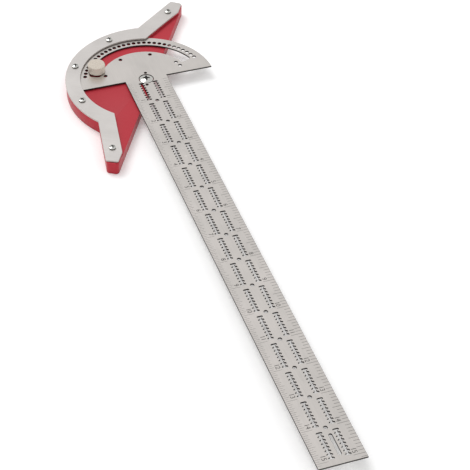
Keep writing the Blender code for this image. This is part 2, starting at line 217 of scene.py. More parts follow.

# %% [markdown]
# ## Nickel, knurled nickel, painted shade and dark filling
# The screws are steel with bright nickel, nearly a mirror. The knob is turned and has a warmer
# nickel, a little duller on its grip, where a paler and less metallic tone is painted light that
# lifts its shaded side. The cross recesses are painted near black as painted shade, and the
# filling of the engraved scale is dark grey; both are matt. All five differ only in tone, gloss
# and the size of their specks, so one function makes them.

# %% Speckled finishes
def speckled(name, deep, pale, roughness, speck, metal):
    finish, tree, shader = new_finish(name, Metallic=metal)
    place = add_node(tree, "ShaderNodeTexCoord").outputs["Object"]
    specks = add_node(tree, "ShaderNodeTexNoise", inputs={
        "Vector": place, "Scale": 1 / speck, "Detail": 3.0}).outputs["Fac"]
    tone = add_node(tree, "ShaderNodeValToRGB", inputs={"Fac": specks}, ramp=((0.35, deep), (0.65, pale)))
    gloss = add_node(tree, "ShaderNodeMapRange", inputs={
        "Value": specks, "To Min": roughness - 0.04, "To Max": roughness + 0.06})
    tree.links.new(tone.outputs["Color"], shader.inputs["Base Color"])
    tree.links.new(gloss.outputs["Result"], shader.inputs["Roughness"])
    return finish


SCREW_NICKEL = speckled("bright_nickel_plate", "#b4b4b0", "#c6c5c1", 0.16, 0.8 * MM, 1.0)
# Near black on the cross recesses: painted shade.
RECESS_PAINTED_SHADE = speckled("cross_recess_painted_shade", "#201f1e", "#2e2c2b", 0.5, 0.4 * MM, 0.5)
KNOB_NICKEL = speckled("warm_nickel_turned", "#c6bcb0", "#cfc6bb", 0.26, 0.9 * MM, 1.0)
# The grip's paler, less metallic tone is painted light on the knob's shaded side.
KNOB_GRIP_PAINTED_LIGHT = speckled("warm_nickel_knurled_painted_light", "#e6dccf", "#efe6db", 0.42, 0.6 * MM, 0.6)
FILLING = speckled("engraving_filled_grey", "#3f3b3a", "#4d4947", 0.7, 0.4 * MM, 0.0)
print("finishes:", [made.name for made in (SCREW_NICKEL, RECESS_PAINTED_SHADE, KNOB_NICKEL, KNOB_GRIP_PAINTED_LIGHT, FILLING)])

# %% [markdown]
# ## Handling pieces
# An operator acts on whatever is selected, so nothing is done before the right things are. The
# same holds for points inside a piece: they are picked by their place, and then moved or
# resized as by hand.

# %% Select and place
def deselect_all():
    if bpy.context.object and bpy.context.object.mode != "OBJECT":
        bpy.ops.object.mode_set(mode="OBJECT")
    bpy.ops.object.select_all(action="DESELECT")


def select_only(*things):
    deselect_all()
    for thing in things:
        thing.select_set(True)
    bpy.context.view_layer.objects.active = things[0]


def settle(piece, move=(0, 0, 0), turn=0.0, size=1.0):
    """Resizes, turns and moves a piece, and puts all of that into its mesh."""
    select_only(piece)
    piece.location = move
    piece.rotation_euler = (0, 0, turn)
    piece.scale = (size, size, size)
    bpy.ops.object.transform_apply(location=True, rotation=True, scale=True)


def pick_points(piece, wanted):
    """Opens a piece in edit mode with only the wanted points selected."""
    select_only(piece)
    bpy.ops.object.mode_set(mode="EDIT")
    bpy.ops.mesh.select_mode(type="VERT")
    bpy.ops.mesh.select_all(action="DESELECT")
    bpy.ops.object.mode_set(mode="OBJECT")
    for vertex in piece.data.vertices:
        vertex.select = wanted(vertex.co)
    bpy.ops.object.mode_set(mode="EDIT")


print("selected at the start:", len(bpy.context.selected_objects))
deselect_all()

# %% [markdown]
# ## From outline to sheet
# Head, frame and rule are flat outlines with a thickness. A flat curve fills an outline, leaves
# its holes open, and gives the sheet its thickness by its extrusion. Its own bevel breaks the
# edges with a small chamfer, and an offset by as much keeps the outline's size. The curve is
# drawn a unit to the millimetre, because the fill treats points that are very close as one,
# and is made a mesh before its scale and place are applied.

# %% Make a sheet
WELD = 0.001 * MM


def close_mesh(piece):
    """Merges doubles and points every face outwards."""
    select_only(piece)
    bpy.ops.object.mode_set(mode="EDIT")
    bpy.ops.mesh.select_all(action="SELECT")
    bpy.ops.mesh.remove_doubles(threshold=WELD)
    bpy.ops.mesh.normals_make_consistent(inside=False)
    bpy.ops.object.mode_set(mode="OBJECT")


def sheet_piece(name, outlines, low, high, broken=0.0):
    """A sheet from outlines, the holes among them, with its edges broken by a chamfer."""
    drawing = bpy.data.curves.new(name, "CURVE")
    drawing.dimensions = "2D"
    drawing.fill_mode = "BOTH"
    drawing.extrude = ((high - low) / 2 - broken) / MM
    drawing.bevel_depth = broken / MM
    drawing.bevel_resolution = 0
    drawing.offset = -broken / MM
    for outline in outlines:
        spline = drawing.splines.new("POLY")
        spline.points.add(len(outline) - 1)
        for point, (x, y) in zip(spline.points, outline):
            point.co = (x / MM, y / MM, 0, 1)
        spline.use_cyclic_u = True
    piece = bpy.data.objects.new(name, drawing)
    bpy.context.collection.objects.link(piece)
    select_only(piece)
    bpy.ops.object.convert(target="MESH")
    settle(piece, move=(0, 0, (low + high) / 2), size=MM)
    close_mesh(piece)
    return piece


print("outlines are drawn larger by:", round(1 / MM))

# %% [markdown]
# ## Finish, shading and a count
# A piece has one finish, or a second one as well on the faces that a test picks. Facets that
# meet at a small angle are shaded as one surface. The report counts the open edges too, of
# which a closed piece has none.

# %% Give a finish, smooth and report
def give(piece, finish, second=None, second_on=None):
    """The finish on all faces, and a second one on those that second_on picks."""
    piece.data.materials.clear()
    piece.data.materials.append(finish)
    if second:
        piece.data.materials.append(second)
    for face in piece.data.polygons:
        face.material_index = 1 if second and second_on(face) else 0


def not_level(face):
    return abs(face.normal.z) < 0.9


def smooth(piece, degrees=30):
    select_only(piece)
    bpy.ops.object.shade_smooth_by_angle(angle=math.radians(degrees))


def report(piece):
    """Prints a piece's triangles, and its open edges, which should be none."""
    uses = {}
    for face in piece.data.polygons:
        for edge in face.edge_keys:
            uses[edge] = uses.get(edge, 0) + 1
    open_edges = sum(1 for count in uses.values() if count != 2)
    triangles = sum(len(face.vertices) - 2 for face in piece.data.polygons)
    print(f"{piece.name}: {triangles} triangles, {open_edges} open edges")


print("materials in the file:", len(bpy.data.materials))

# %% [markdown]
# ## Arcs and circles
# Most outlines here are arcs, by a centre, a radius and two angles in degrees. A circle is an
# arc that goes all the way, and a corner is eased with a short arc that touches both its sides.

# %% Arcs, circles and eased corners
def polar(radius, degrees):
    angle = math.radians(degrees)
    return (radius * math.cos(angle), radius * math.sin(angle))


def arc(centre, radius, start, end, steps):
    points = []
    for step in range(steps + 1):
        x, y = polar(radius, start + (end - start) * step / steps)
        points.append((centre[0] + x, centre[1] + y))
    return points


def circle(centre, radius, steps=24):
    return arc(centre, radius, 0, 360, steps)[:-1]


def eased(before, corner, after, radius, steps=6):
    """A corner's round, as points from its first side to its second."""
    middle = Vector(corner)
    to_first, to_second = (Vector(before) - middle).normalized(), (Vector(after) - middle).normalized()
    half = to_first.angle(to_second) / 2
    centre = middle + (to_first + to_second).normalized() * radius / math.sin(half)
    touch = [middle + side * radius / math.tan(half) - centre for side in (to_first, to_second)]
    start, end = (math.degrees(math.atan2(point.y, point.x)) for point in touch)
    return arc(centre, radius, start, start + (end - start + 540) % 360 - 180, steps)


def mirrored(half, shared):
    """An outline from its right half. The shared points lie on the middle line."""
    left = half[:-1] if shared == "last" else half[1:-1]
    return half + [(-x, y) for x, y in reversed(left)]


print("points of a circle:", len(circle((0, 0), 1.0)))

# %% [markdown]
# ## The rule's holes
# Blade and half-disc are one sheet. The half-disc has an arc slot for the lock knob, a ring of
# small holes every five degrees, five index holes, and two setting holes beside the pivot.
# The blade has two columns of pencil combs, one comb to the inch: a slot with eight pairs of
# notches, in which a pencil point rests while the tool is drawn along an edge. A round hole
# lies between the columns before each inch, and a long slot near the end.

# %% Arc slot
SLOT_INNER_R = 33.9 * MM
SLOT_OUTER_R = 42.3 * MM
SLOT_CORNER = 2.0 * MM
SLOT_END = 20.3


def arc_slot():
    """The slot's outline, with eased corners at both ends."""
    inner_turn = SLOT_END + math.degrees(SLOT_CORNER / (SLOT_INNER_R + SLOT_CORNER))
    outer_turn = SLOT_END + math.degrees(SLOT_CORNER / (SLOT_OUTER_R - SLOT_CORNER))
    half = arc((0, 0), SLOT_INNER_R, 90, inner_turn, 48)
    inner_corner = polar(SLOT_INNER_R + SLOT_CORNER, inner_turn)
    outer_corner = polar(SLOT_OUTER_R - SLOT_CORNER, outer_turn)
    half += arc(inner_corner, SLOT_CORNER, inner_turn - 180, inner_turn - 90, 8)[1:]
    half += arc(outer_corner, SLOT_CORNER, outer_turn - 90, outer_turn, 8)
    half += arc((0, 0), SLOT_OUTER_R, outer_turn, 90, 48)[1:]
    return mirrored(half, "both")


print("slot's width in mm:", round((SLOT_OUTER_R - SLOT_INNER_R) / MM, 1))

# %% Pencil comb
COLUMN_X = 5.3 * MM
NOTCH_PAIRS = 8
NOTCH_PITCH = INCH / (NOTCH_PAIRS + 1)
NOTCH_R = 0.72 * MM
NOTCH_REACH = 1.95 * MM
COMB_SPINE = 1.5 * MM
COMB_DROP = 0.3 * MM
COMB_BOW = 0.05 * MM


def comb(column, line_y):
    """A slot with eight pairs of round notches. Its notches bow out a hair, as the fill needs."""
    half = []
    for notch in range(NOTCH_PAIRS):
        y = line_y - COMB_DROP - notch * NOTCH_PITCH
        tip_x = NOTCH_REACH - NOTCH_R + COMB_BOW * math.sin(math.pi * notch / (NOTCH_PAIRS - 1))
        half.append((COMB_SPINE / 2, y + NOTCH_R))
        half += arc((tip_x, y), NOTCH_R, 90, -90, 6)
        half.append((COMB_SPINE / 2, y - NOTCH_R))
    half = half[1:-1]
    return [(column + x, y) for x, y in half] + [(column - x, y) for x, y in reversed(half)]


print("notches are apart, in mm:", round(NOTCH_PITCH / MM, 2))

# %% Round holes and the end slot
INCHES = 15
BLADE_MARGIN = 0.2 * MM
BLADE_END = -(FENCE + INCHES * INCH + BLADE_MARGIN)
RING_R, RING_HOLE_R = 45.4 * MM, 1.4 * MM
RING_TURNS = range(20, 161, 5)
INDEX_R, INDEX_HOLE_R = 30.4 * MM, 1.4 * MM
INDEX_TURNS = (16.2, 25.5, 67.5, 112.5, 156.6)
SETTING_PLACE, SETTING_HOLE_R = (1.58 * MM, 7.08 * MM), 1.1 * MM
PIVOT_HOLE_R = 5.5 * MM
DOT_R = 1.35 * MM
END_SLOT_X, END_SLOT_WIDTH, END_SLOT_LENGTH = 0.7 * MM, 2.2 * MM, 17.0 * MM
END_SLOT_TO_EDGE = 6.3 * MM

rule_holes = [arc_slot(), circle((0, 0), PIVOT_HOLE_R, 64)]
rule_holes += [circle(polar(RING_R, turn), RING_HOLE_R) for turn in RING_TURNS]
rule_holes += [circle(polar(INDEX_R, turn), INDEX_HOLE_R) for turn in INDEX_TURNS]
for side in (1, -1):
    rule_holes.append(circle((side * SETTING_PLACE[0], side * SETTING_PLACE[1]), SETTING_HOLE_R, 20))
for inch in range(INCHES):
    inch_y = -(FENCE + inch * INCH)
    rule_holes += [comb(column, inch_y) for column in (-COLUMN_X, COLUMN_X)]
    if inch:
        rule_holes.append(circle((0, inch_y + NOTCH_PITCH), DOT_R))
slot_low = BLADE_END + END_SLOT_TO_EDGE + END_SLOT_WIDTH / 2
slot_high = BLADE_END + END_SLOT_TO_EDGE + END_SLOT_LENGTH - END_SLOT_WIDTH / 2
rule_holes.append(arc((END_SLOT_X, slot_high), END_SLOT_WIDTH / 2, 0, 180, 10)
                  + arc((END_SLOT_X, slot_low), END_SLOT_WIDTH / 2, 180, 360, 10))
print("holes in the rule:", len(rule_holes))

# %% [markdown]
# ## The rule
# The outline is a half circle with the blade hanging from it. All its edges are broken by a
# hair, and that little chamfer is painted near black as painted shade, so each hole has a dark rim.

# %% Make the rule and turn it to its angle
BLADE_HALF = 31.75 / 2 * MM
DISC_R = 51.4 * MM
DISC_FLAT_Y = 0.6 * MM
RULE_BREAK = 0.12 * MM

flat_turn = math.degrees(math.asin(DISC_FLAT_Y / DISC_R))
rule_edge = arc((0, 0), DISC_R, flat_turn, 180 - flat_turn, 144)
rule_edge += [(-BLADE_HALF, DISC_FLAT_Y), (-BLADE_HALF, BLADE_END)]
rule_edge += [(BLADE_HALF, BLADE_END), (BLADE_HALF, DISC_FLAT_Y)]
rule = sheet_piece("steel_rule", [rule_edge] + rule_holes, PLATE_Z, PLATE_TOP, RULE_BREAK)
settle(rule, turn=-SWING)
# The rule's walls and chamfers take the near-black painted shade.
give(rule, RULE_FACE, RULE_EDGE_PAINTED_SHADE, not_level)
smooth(rule)
report(rule)

# %% [markdown]
# ## The scale's lines
# The right edge is divided in tenths of an inch and the left edge, with finer lines, in
# sixteenths. Lines for eighths, halves and whole inches are longer. The real lines are engraved
# and filled. Cutting four hundred grooves into the sheet would cost much and show nothing, so
# each line is a thin bar with sloping sides that stands a hair above the sheet. One bar is made
# for each length and laid out by an Array modifier. A long line is the short one with a bar
# added at its end.

# %% Engraved lines
RIGHT_LINE, LEFT_LINE = 0.28 * MM, 0.18 * MM
TENTH_END, HALF_END, INCH_END = 4.0 * MM, 6.0 * MM, 8.0 * MM
SIXTEENTH_END, EIGHTH_END, LEFT_HALF_END = 2.9 * MM, 3.8 * MM, 4.6 * MM
LINE_TAPER = 0.8
LINE_LOW = PLATE_TOP - 0.02 * MM
LINE_HIGH = PLATE_TOP + 0.012 * MM
SCALE_ZERO = 1.1 * MM
EDGE_MARGIN = RULE_BREAK + 0.05 * MM


def apply_modifiers(piece):
    select_only(piece)
    for modifier in list(piece.modifiers):
        bpy.ops.object.modifier_apply(modifier=modifier.name)


def line_row(name, near, far, side, width, pitch, count):
    """Bars from near to far, measured in from one edge of the blade, at a pitch along it."""
    centre = (side * (BLADE_HALF - (near + far) / 2), -(SCALE_ZERO + pitch), (LINE_LOW + LINE_HIGH) / 2)
    deselect_all()
    bpy.ops.mesh.primitive_cube_add(size=1, location=centre,
                                    scale=(far - near, width, LINE_HIGH - LINE_LOW))
    bar = bpy.context.object
    bar.name = name
    bpy.ops.object.transform_apply(location=True, rotation=True, scale=True)
    pick_points(bar, lambda place: place.z > centre[2])
    bpy.ops.transform.resize(value=(1, LINE_TAPER, 1), center_override=centre)
    bpy.ops.object.mode_set(mode="OBJECT")
    row = bar.modifiers.new("row", "ARRAY")
    row.count = count
    row.use_relative_offset = False
    row.use_constant_offset = True
    row.constant_offset_displace = (0, -pitch, 0)
    apply_modifiers(bar)
    return bar


def join(name, parts):
    select_only(*parts)
    bpy.ops.object.join()
    whole = bpy.context.object
    whole.name = name
    whole.data.name = name
    return whole


scale_lines = join("scale_lines", [
    line_row("tenths", EDGE_MARGIN, TENTH_END, 1, RIGHT_LINE, INCH / 10, 10 * INCHES + 1),
    line_row("halves", TENTH_END, HALF_END, 1, RIGHT_LINE, INCH / 2, 2 * INCHES),
    line_row("inches", HALF_END, INCH_END, 1, RIGHT_LINE, INCH, INCHES),
    line_row("sixteenths", EDGE_MARGIN, SIXTEENTH_END, -1, LEFT_LINE, INCH / 16, 16 * INCHES + 1),
    line_row("eighths", SIXTEENTH_END, EIGHTH_END, -1, LEFT_LINE, INCH / 8, 8 * INCHES),
    line_row("left_halves", EIGHTH_END, LEFT_HALF_END, -1, LEFT_LINE, INCH / 2, 2 * INCHES),
    line_row("left_inches", LEFT_HALF_END, INCH_END, -1, LEFT_LINE, INCH, INCHES)])
settle(scale_lines, turn=-SWING)
give(scale_lines, FILLING)
report(scale_lines)

# %% [markdown]
# ## The scale's figures
# The inches are numbered along both edges, each figure just before its line. They read along
# the blade, with their tops to its right edge. Each is a text of real height, made a mesh
# before its place is applied.

# %% Engraved figures
FIGURE_HEIGHT = 3.2 * MM
CAP_SHARE = 0.7
FIGURE_TO_LINE = 1.2 * MM
RIGHT_TOP_X, LEFT_TOP_X = 11.2 * MM, -8.2 * MM


def figure(number, top_x, end_y):
    """A number that reads towards the blade's end, which it reaches at end_y."""
    deselect_all()
    bpy.ops.object.text_add()
    text = bpy.context.object
    text.data.body = str(number)
    text.data.size = FIGURE_HEIGHT / CAP_SHARE / MM
    text.data.extrude = (LINE_HIGH - LINE_LOW) / 2 / MM
    text.data.align_x = "RIGHT"
    text.data.resolution_u = 3
    text.data.space_character = 0.9
    bpy.ops.object.convert(target="MESH")
    text = bpy.context.object
    settle(text, size=MM)
    highest = max(vertex.co.y for vertex in text.data.vertices)
    settle(text, move=(0, -highest, 0))
    settle(text, move=(top_x, end_y, (LINE_LOW + LINE_HIGH) / 2), turn=math.radians(-90))
    return text


figures = []
for inch in range(1, INCHES + 1):
    before_line = -(SCALE_ZERO + inch * INCH) + FIGURE_TO_LINE
    figures += [figure(inch, top_x, before_line) for top_x in (RIGHT_TOP_X, LEFT_TOP_X)]
scale_figures = join("scale_figures", figures)
settle(scale_figures, turn=-SWING)
close_mesh(scale_figures)
give(scale_figures, FILLING)
report(scale_figures)

# %% [markdown]
# ## The horns' geometry
# Each horn's long edge has the same slope on head, frame and pocket, and only lies further out
# or in. These helpers slide a point along that edge, step away from it, and find where it
# crosses the round back.

# %% Horn helpers
BACK_CENTRE_Y = -4.7 * MM
HORN_SLOPE = -0.4
HORN_TURN = math.degrees(math.atan(HORN_SLOPE))
HORN_END = (88.1 * MM, -4.2 * MM)
HORN_WIDTH = 12.6 * MM


def along_horn(point, x):
    return (x, point[1] + HORN_SLOPE * (x - point[0]))


def beside_horn(point, distance):
    x, y = polar(distance, 90 + HORN_TURN)
    return (point[0] + x, point[1] + y)


def meet(centre_y, radius, point):
    """Where a horn's long edge through a point crosses a circle centred on the Y axis."""
    rise = point[1] - centre_y - HORN_SLOPE * point[0]
    a = 1 + HORN_SLOPE * HORN_SLOPE
    b = HORN_SLOPE * rise
    x = (-b + math.sqrt(b * b - a * (rise * rise - radius * radius))) / a
    return along_horn(point, x)


def turn_of(centre_y, point):
    return math.degrees(math.atan2(point[1] - centre_y, point[0]))


print("slope of the horns in degrees:", round(HORN_TURN, 1))

# %% [markdown]
# ## The frame
# The frame follows the back of the head in an arc and runs out over both horns. It is screwed
# down on the rim and laps over the half-disc, so the rule can turn but not lift. The corners
# at its tips are eased, and its edges are broken by the tumbling.

# %% Make the frame
COVER_INNER_R = 48.8 * MM
COVER_BACK_R = 64.4 * MM
COVER_TIP_X = 99.8 * MM
COVER_TIP_CUT = 0.6 * MM
TIP_EASE = 1.6 * MM
FRAME_BREAK = 0.15 * MM
BACK_STEPS = 72
SCREW_RING_R = 54.5 * MM
SCREW_TO_TIP = 14.1 * MM
SCREW_HOLE_R = 1.55 * MM

horn_middle = along_horn(beside_horn(HORN_END, HORN_WIDTH / 2), COVER_TIP_X - SCREW_TO_TIP)
screw_places = [horn_middle] + [polar(SCREW_RING_R, turn) for turn in (45, 90, 135)]
screw_places.append((-horn_middle[0], horn_middle[1]))


def frame_outline():
    outer = beside_horn(HORN_END, HORN_WIDTH)
    inner_corner = meet(0, COVER_INNER_R, HORN_END)
    outer_corner = meet(BACK_CENTRE_Y, COVER_BACK_R, outer)
    tip_in, tip_out = (COVER_TIP_X - COVER_TIP_CUT, HORN_END[1]), along_horn(outer, COVER_TIP_X)
    half = arc((0, 0), COVER_INNER_R, 90, turn_of(0, inner_corner), BACK_STEPS)
    half += [HORN_END] + eased(HORN_END, tip_in, tip_out, TIP_EASE)
    half += eased(tip_in, tip_out, outer_corner, TIP_EASE)
    half += arc((0, BACK_CENTRE_Y), COVER_BACK_R, turn_of(BACK_CENTRE_Y, outer_corner), 90, BACK_STEPS)
    return mirrored(half, "both")


frame_lines = [frame_outline()] + [circle(place, SCREW_HOLE_R) for place in screw_places]
steel_frame = sheet_piece("steel_frame", frame_lines, COVER_Z, COVER_TOP, FRAME_BREAK)
give(steel_frame, FRAME_FACE, FRAME_EDGE, not_level)
smooth(steel_frame)
report(steel_frame)

# %% [markdown]
# ## The head
# The head is milled from a bar: its outline stands just inside the frame's, and a shallow
# pocket, open along the fence, makes room for the half-disc. The pocket is cut with a Boolean
# and a second sheet, whose mouth reaches well past the fence. All edges are then broken by a
# small round before anodising, so they catch the light in a thin line.

# %% Outlines of the head and its pocket
BODY_TIP_X = 100.6 * MM
BODY_INSET = 0.6 * MM
TIP_ROUND = 2.5 * MM
POCKET_GAP = 0.4 * MM
POCKET_OVER = 3 * MM
MOUTH_REACH = 12 * MM


def head_outline():
    edge = beside_horn(HORN_END, HORN_WIDTH - BODY_INSET)
    radius = COVER_BACK_R - BODY_INSET
    corner = meet(BACK_CENTRE_Y, radius, edge)
    tip_x = BODY_TIP_X - TIP_ROUND
    tip_y = along_horn(edge, tip_x)[1] - TIP_ROUND
    half = arc((tip_x, TIP_ROUND - FENCE), TIP_ROUND, -90, 0, 10)
    half += arc((tip_x, tip_y), TIP_ROUND, 0, 90 + HORN_TURN, 10)
    half += arc((0, BACK_CENTRE_Y), radius, turn_of(BACK_CENTRE_Y, corner), 90, BACK_STEPS)
    return mirrored(half, "last")


def pocket_outline():
    edge = beside_horn(HORN_END, GAP)
    radius = DISC_R + POCKET_GAP
    corner = meet(0, radius, edge)
    far_y = -FENCE - MOUTH_REACH
    mouth = (edge[0] + (far_y - edge[1]) / HORN_SLOPE, far_y)
    return mirrored([mouth] + arc((0, 0), radius, turn_of(0, corner), 90, BACK_STEPS), "last")


print("points of the head's outline:", len(head_outline()))

# %% Carve the pocket and break the edges
HEAD_BREAK = 0.35 * MM
BREAK_FROM = math.radians(50)


def flatten_faces(piece):
    """Turns the filled triangles of flat faces back into whole faces."""
    select_only(piece)
    bpy.ops.object.mode_set(mode="EDIT")
    bpy.ops.mesh.select_all(action="SELECT")
    bpy.ops.mesh.dissolve_limited(angle_limit=math.radians(0.5))
    bpy.ops.object.mode_set(mode="OBJECT")


def carve(piece, cutter):
    """Takes the cutter's shape out of the piece and removes the cutter."""
    cut = piece.modifiers.new("cut", "BOOLEAN")
    cut.operation = "DIFFERENCE"
    cut.solver = "EXACT"
    cut.object = cutter
    apply_modifiers(piece)
    bpy.data.objects.remove(cutter, do_unlink=True)
    close_mesh(piece)


red_head = sheet_piece("red_head", [head_outline()], 0, PLATE_TOP)
pocket = sheet_piece("pocket", [pocket_outline()], FLOOR_Z, PLATE_TOP + POCKET_OVER)
flatten_faces(red_head)
flatten_faces(pocket)
carve(red_head, pocket)
ease = red_head.modifiers.new("eased_edges", "BEVEL")
ease.width = HEAD_BREAK
ease.segments = 2
ease.limit_method = "ANGLE"
ease.angle_limit = BREAK_FROM
apply_modifiers(red_head)
report(red_head)

# %% [markdown]
# Seven blind holes take the screws and the knob's stud. They are drilled after the edges are
# eased, so the bevel doesn't touch them. A drill is a cylinder whose lower end is drawn in to
# a point's slope, as a real drill leaves it.

# %% Drill the blind holes
KNOB_PLACE = (0, 38.1 * MM)
DRILL_TOP = 14 * MM
DRILL_SLOPE, DRILL_TIP = 0.4, 0.2
SCREW_BORE_LOW = 3.9 * MM
PIVOT_BORE_R, PIVOT_BORE_LOW = 2.8 * MM, 1.9 * MM
STUD_BORE_R, STUD_BORE_LOW = 2.3 * MM, 2.2 * MM


def drill(place, radius, low):
    """A drill that reaches down to low, with a sloping end."""
    deselect_all()
    bpy.ops.mesh.primitive_cylinder_add(vertices=24, radius=radius, depth=DRILL_TOP - low,
                                        location=(*place, (DRILL_TOP + low) / 2))
    tool = bpy.context.object
    bpy.ops.object.transform_apply(location=True, rotation=True, scale=True)
    pick_points(tool, lambda point: point.z < (DRILL_TOP + low) / 2)
    bpy.ops.mesh.extrude_region_move(TRANSFORM_OT_translate={"value": (0, 0, -DRILL_SLOPE * radius)})
    bpy.ops.transform.resize(value=(DRILL_TIP, DRILL_TIP, 1), center_override=(*place, low))
    bpy.ops.object.mode_set(mode="OBJECT")
    close_mesh(tool)
    return tool


blind_holes = [(place, SCREW_HOLE_R, SCREW_BORE_LOW) for place in screw_places]
blind_holes += [((0, 0), PIVOT_BORE_R, PIVOT_BORE_LOW), (KNOB_PLACE, STUD_BORE_R, STUD_BORE_LOW)]
for place, radius, low in blind_holes:
    carve(red_head, drill(place, radius, low))
give(red_head, RED_HEAD)
smooth(red_head)
report(red_head)

# %% [markdown]
# ## Turned pieces
# A screw or a knob is a shape turned on a lathe. It starts as a disc at its lower end, and the
# disc is drawn up ring by ring: each extrusion lifts it by a height, and a resize about its
# middle brings it to the next radius, which leaves a wall behind.

# %% Turn a piece ring by ring
def turned(name, place, profile, steps):
    """A closed turned piece from (radius, height) pairs, from its lower end up."""
    radius, height = profile[0]
    deselect_all()
    bpy.ops.mesh.primitive_circle_add(vertices=steps, radius=radius, fill_type="NGON",
                                      location=(*place, height))
    piece = bpy.context.object
    piece.name = name
    piece.data.name = name
    bpy.ops.object.transform_apply(location=True, rotation=True, scale=True)
    bpy.ops.object.mode_set(mode="EDIT")
    bpy.ops.mesh.select_all(action="SELECT")
    for next_radius, next_height in profile[1:]:
        bpy.ops.mesh.extrude_region_move(TRANSFORM_OT_translate={"value": (0, 0, next_height - height)})
        factor = next_radius / radius
        bpy.ops.transform.resize(value=(factor, factor, 1), center_override=(*place, next_height))
        radius, height = next_radius, next_height
    bpy.ops.object.mode_set(mode="OBJECT")
    close_mesh(piece)
    return piece


def dome(radius, edge_height, top_height, rings):
    """Profile of a low dome, from its edge up to just beside its middle."""
    rise = top_height - edge_height
    dome_r = (radius * radius + rise * rise) / (2 * rise)
    points = []
    for ring in range(rings):
        x = radius * (1 - ring / rings)
        points.append((x, top_height - dome_r + math.sqrt(dome_r * dome_r - x * x)))
    return points


print("dome of 4 rings:", [round(x / MM, 2) for x, y in dome(2.5 * MM, 0.6 * MM, 1.3 * MM, 4)])

# %% [markdown]
# ## Screws
# Five pan-head screws hold the frame, and a larger one with a low dome is the pivot. A cross
# recess is pressed in with a tapered punch, so its arms slope down to the middle. The cutter
# here is such a punch: two crossed bars whose lower ends are drawn in. The faces that a
# Boolean takes from its cutter keep their material slot, which paints the recess near black
# as painted shade.

# %% Cross punch
PUNCH_OVER = 0.1 * MM
PUNCH_TAPER = 0.55
PUNCH_DEPTH = 0.9 * MM


def cross_punch(arm_width, arm_length, top, depth):
    bars = []
    for width, length in ((arm_width, arm_length), (arm_length, arm_width)):
        deselect_all()
        bpy.ops.mesh.primitive_cube_add(size=1, location=(0, 0, top - depth / 2 + PUNCH_OVER / 2),
                                        scale=(width, length, depth + PUNCH_OVER))
        bar = bpy.context.object
        bpy.ops.object.transform_apply(location=True, rotation=True, scale=True)
        pick_points(bar, lambda place: place.z < top - depth / 2)
        bpy.ops.transform.resize(value=(PUNCH_TAPER, PUNCH_TAPER, 1), center_override=(0, 0, top - depth))
        bpy.ops.object.mode_set(mode="OBJECT")
        bars.append(bar)
    cross = bars[0].modifiers.new("cross", "BOOLEAN")
    cross.operation = "UNION"
    cross.solver = "EXACT"
    cross.object = bars[1]
    apply_modifiers(bars[0])
    bpy.data.objects.remove(bars[1], do_unlink=True)
    return bars[0]


print("depth of a cross recess in mm:", round(PUNCH_DEPTH / MM, 2))

# %% Pan-head screw
SHANK_EASE = 0.3
SEAT_BREAK = 0.15 * MM
DOME_RINGS = 8


def pan_screw(name, head_r, shank_r, seat, rim, top, tip_z, arm, steps):
    """A screw from its tip up: shank, flat seat, upright rim, dome and cross recess."""
    ease = SHANK_EASE * shank_r
    profile = [(shank_r - ease, tip_z), (shank_r, tip_z + ease), (shank_r, seat)]
    profile += [(head_r - SEAT_BREAK, seat), (head_r, seat + SEAT_BREAK)]
    screw = turned(name, (0, 0), profile + dome(head_r, seat + rim, seat + top, DOME_RINGS), steps)
    give(screw, SCREW_NICKEL, RECESS_PAINTED_SHADE, lambda face: False)
    punch = cross_punch(*arm, seat + top, PUNCH_DEPTH)
    # The punch's faces carry the near-black painted shade into the recess.
    give(punch, SCREW_NICKEL, RECESS_PAINTED_SHADE, lambda face: True)
    carve(screw, punch)
    return screw


frame_screw = pan_screw("frame_screw", head_r=2.5 * MM, shank_r=1.25 * MM, seat=SCREW_SEAT, rim=0.6 * MM,
                        top=1.3 * MM, tip_z=4.5 * MM, arm=(1.05 * MM, 3.9 * MM), steps=40)
report(frame_screw)

# %% Copy the screw to its five places
SCREW_TURNS = (12, 40, 22, 65, 30)

frame_screws = []
for number, (place, turn) in enumerate(zip(screw_places, SCREW_TURNS), start=1):
    screw = bpy.data.objects.new(f"pan_screw_{number}", frame_screw.data.copy())
    bpy.context.collection.objects.link(screw)
    screw.data.name = screw.name
    settle(screw, move=(*place, 0), turn=math.radians(turn))
    smooth(screw, 35)
    frame_screws.append(screw)
bpy.data.objects.remove(frame_screw, do_unlink=True)
print("frame screws:", [screw.name for screw in frame_screws])

# %% Pivot screw
pivot = pan_screw("pivot_pan_screw", head_r=5.0 * MM, shank_r=2.5 * MM, seat=PLATE_Z, rim=1.1 * MM,
                  top=2.4 * MM, tip_z=2.5 * MM, arm=(1.8 * MM, 6.8 * MM), steps=72)
settle(pivot, turn=math.radians(20))
smooth(pivot, 35)
report(pivot)

# %% [markdown]
# ## The lock knob
# A round knob on a stud that goes down through the arc slot. Its foot stands right over the
# plate, with a chamfer above and below, and a fine knurl in between: every second line of the
# grip is drawn in a little. The lathe left a small centre mark in its top.

# %% Turn the knob
KNOB_R = 6.4 * MM
KNOB_TEETH = 90
KNURL_DEPTH = 0.05 * MM
KNOB_TOP = 16.4 * MM
KNOB_FOOT = PLATE_TOP + GAP
KNOB_CHAMFER = 0.5 * MM
STUD_R, STUD_TIP_R = 2.0 * MM, 1.4 * MM
STUD_TIP_Z, STUD_EASED_Z = 2.8 * MM, 3.4 * MM
MARK_R, MARK_LOW_R, MARK_DEPTH = 1.2 * MM, 0.9 * MM, 0.2 * MM

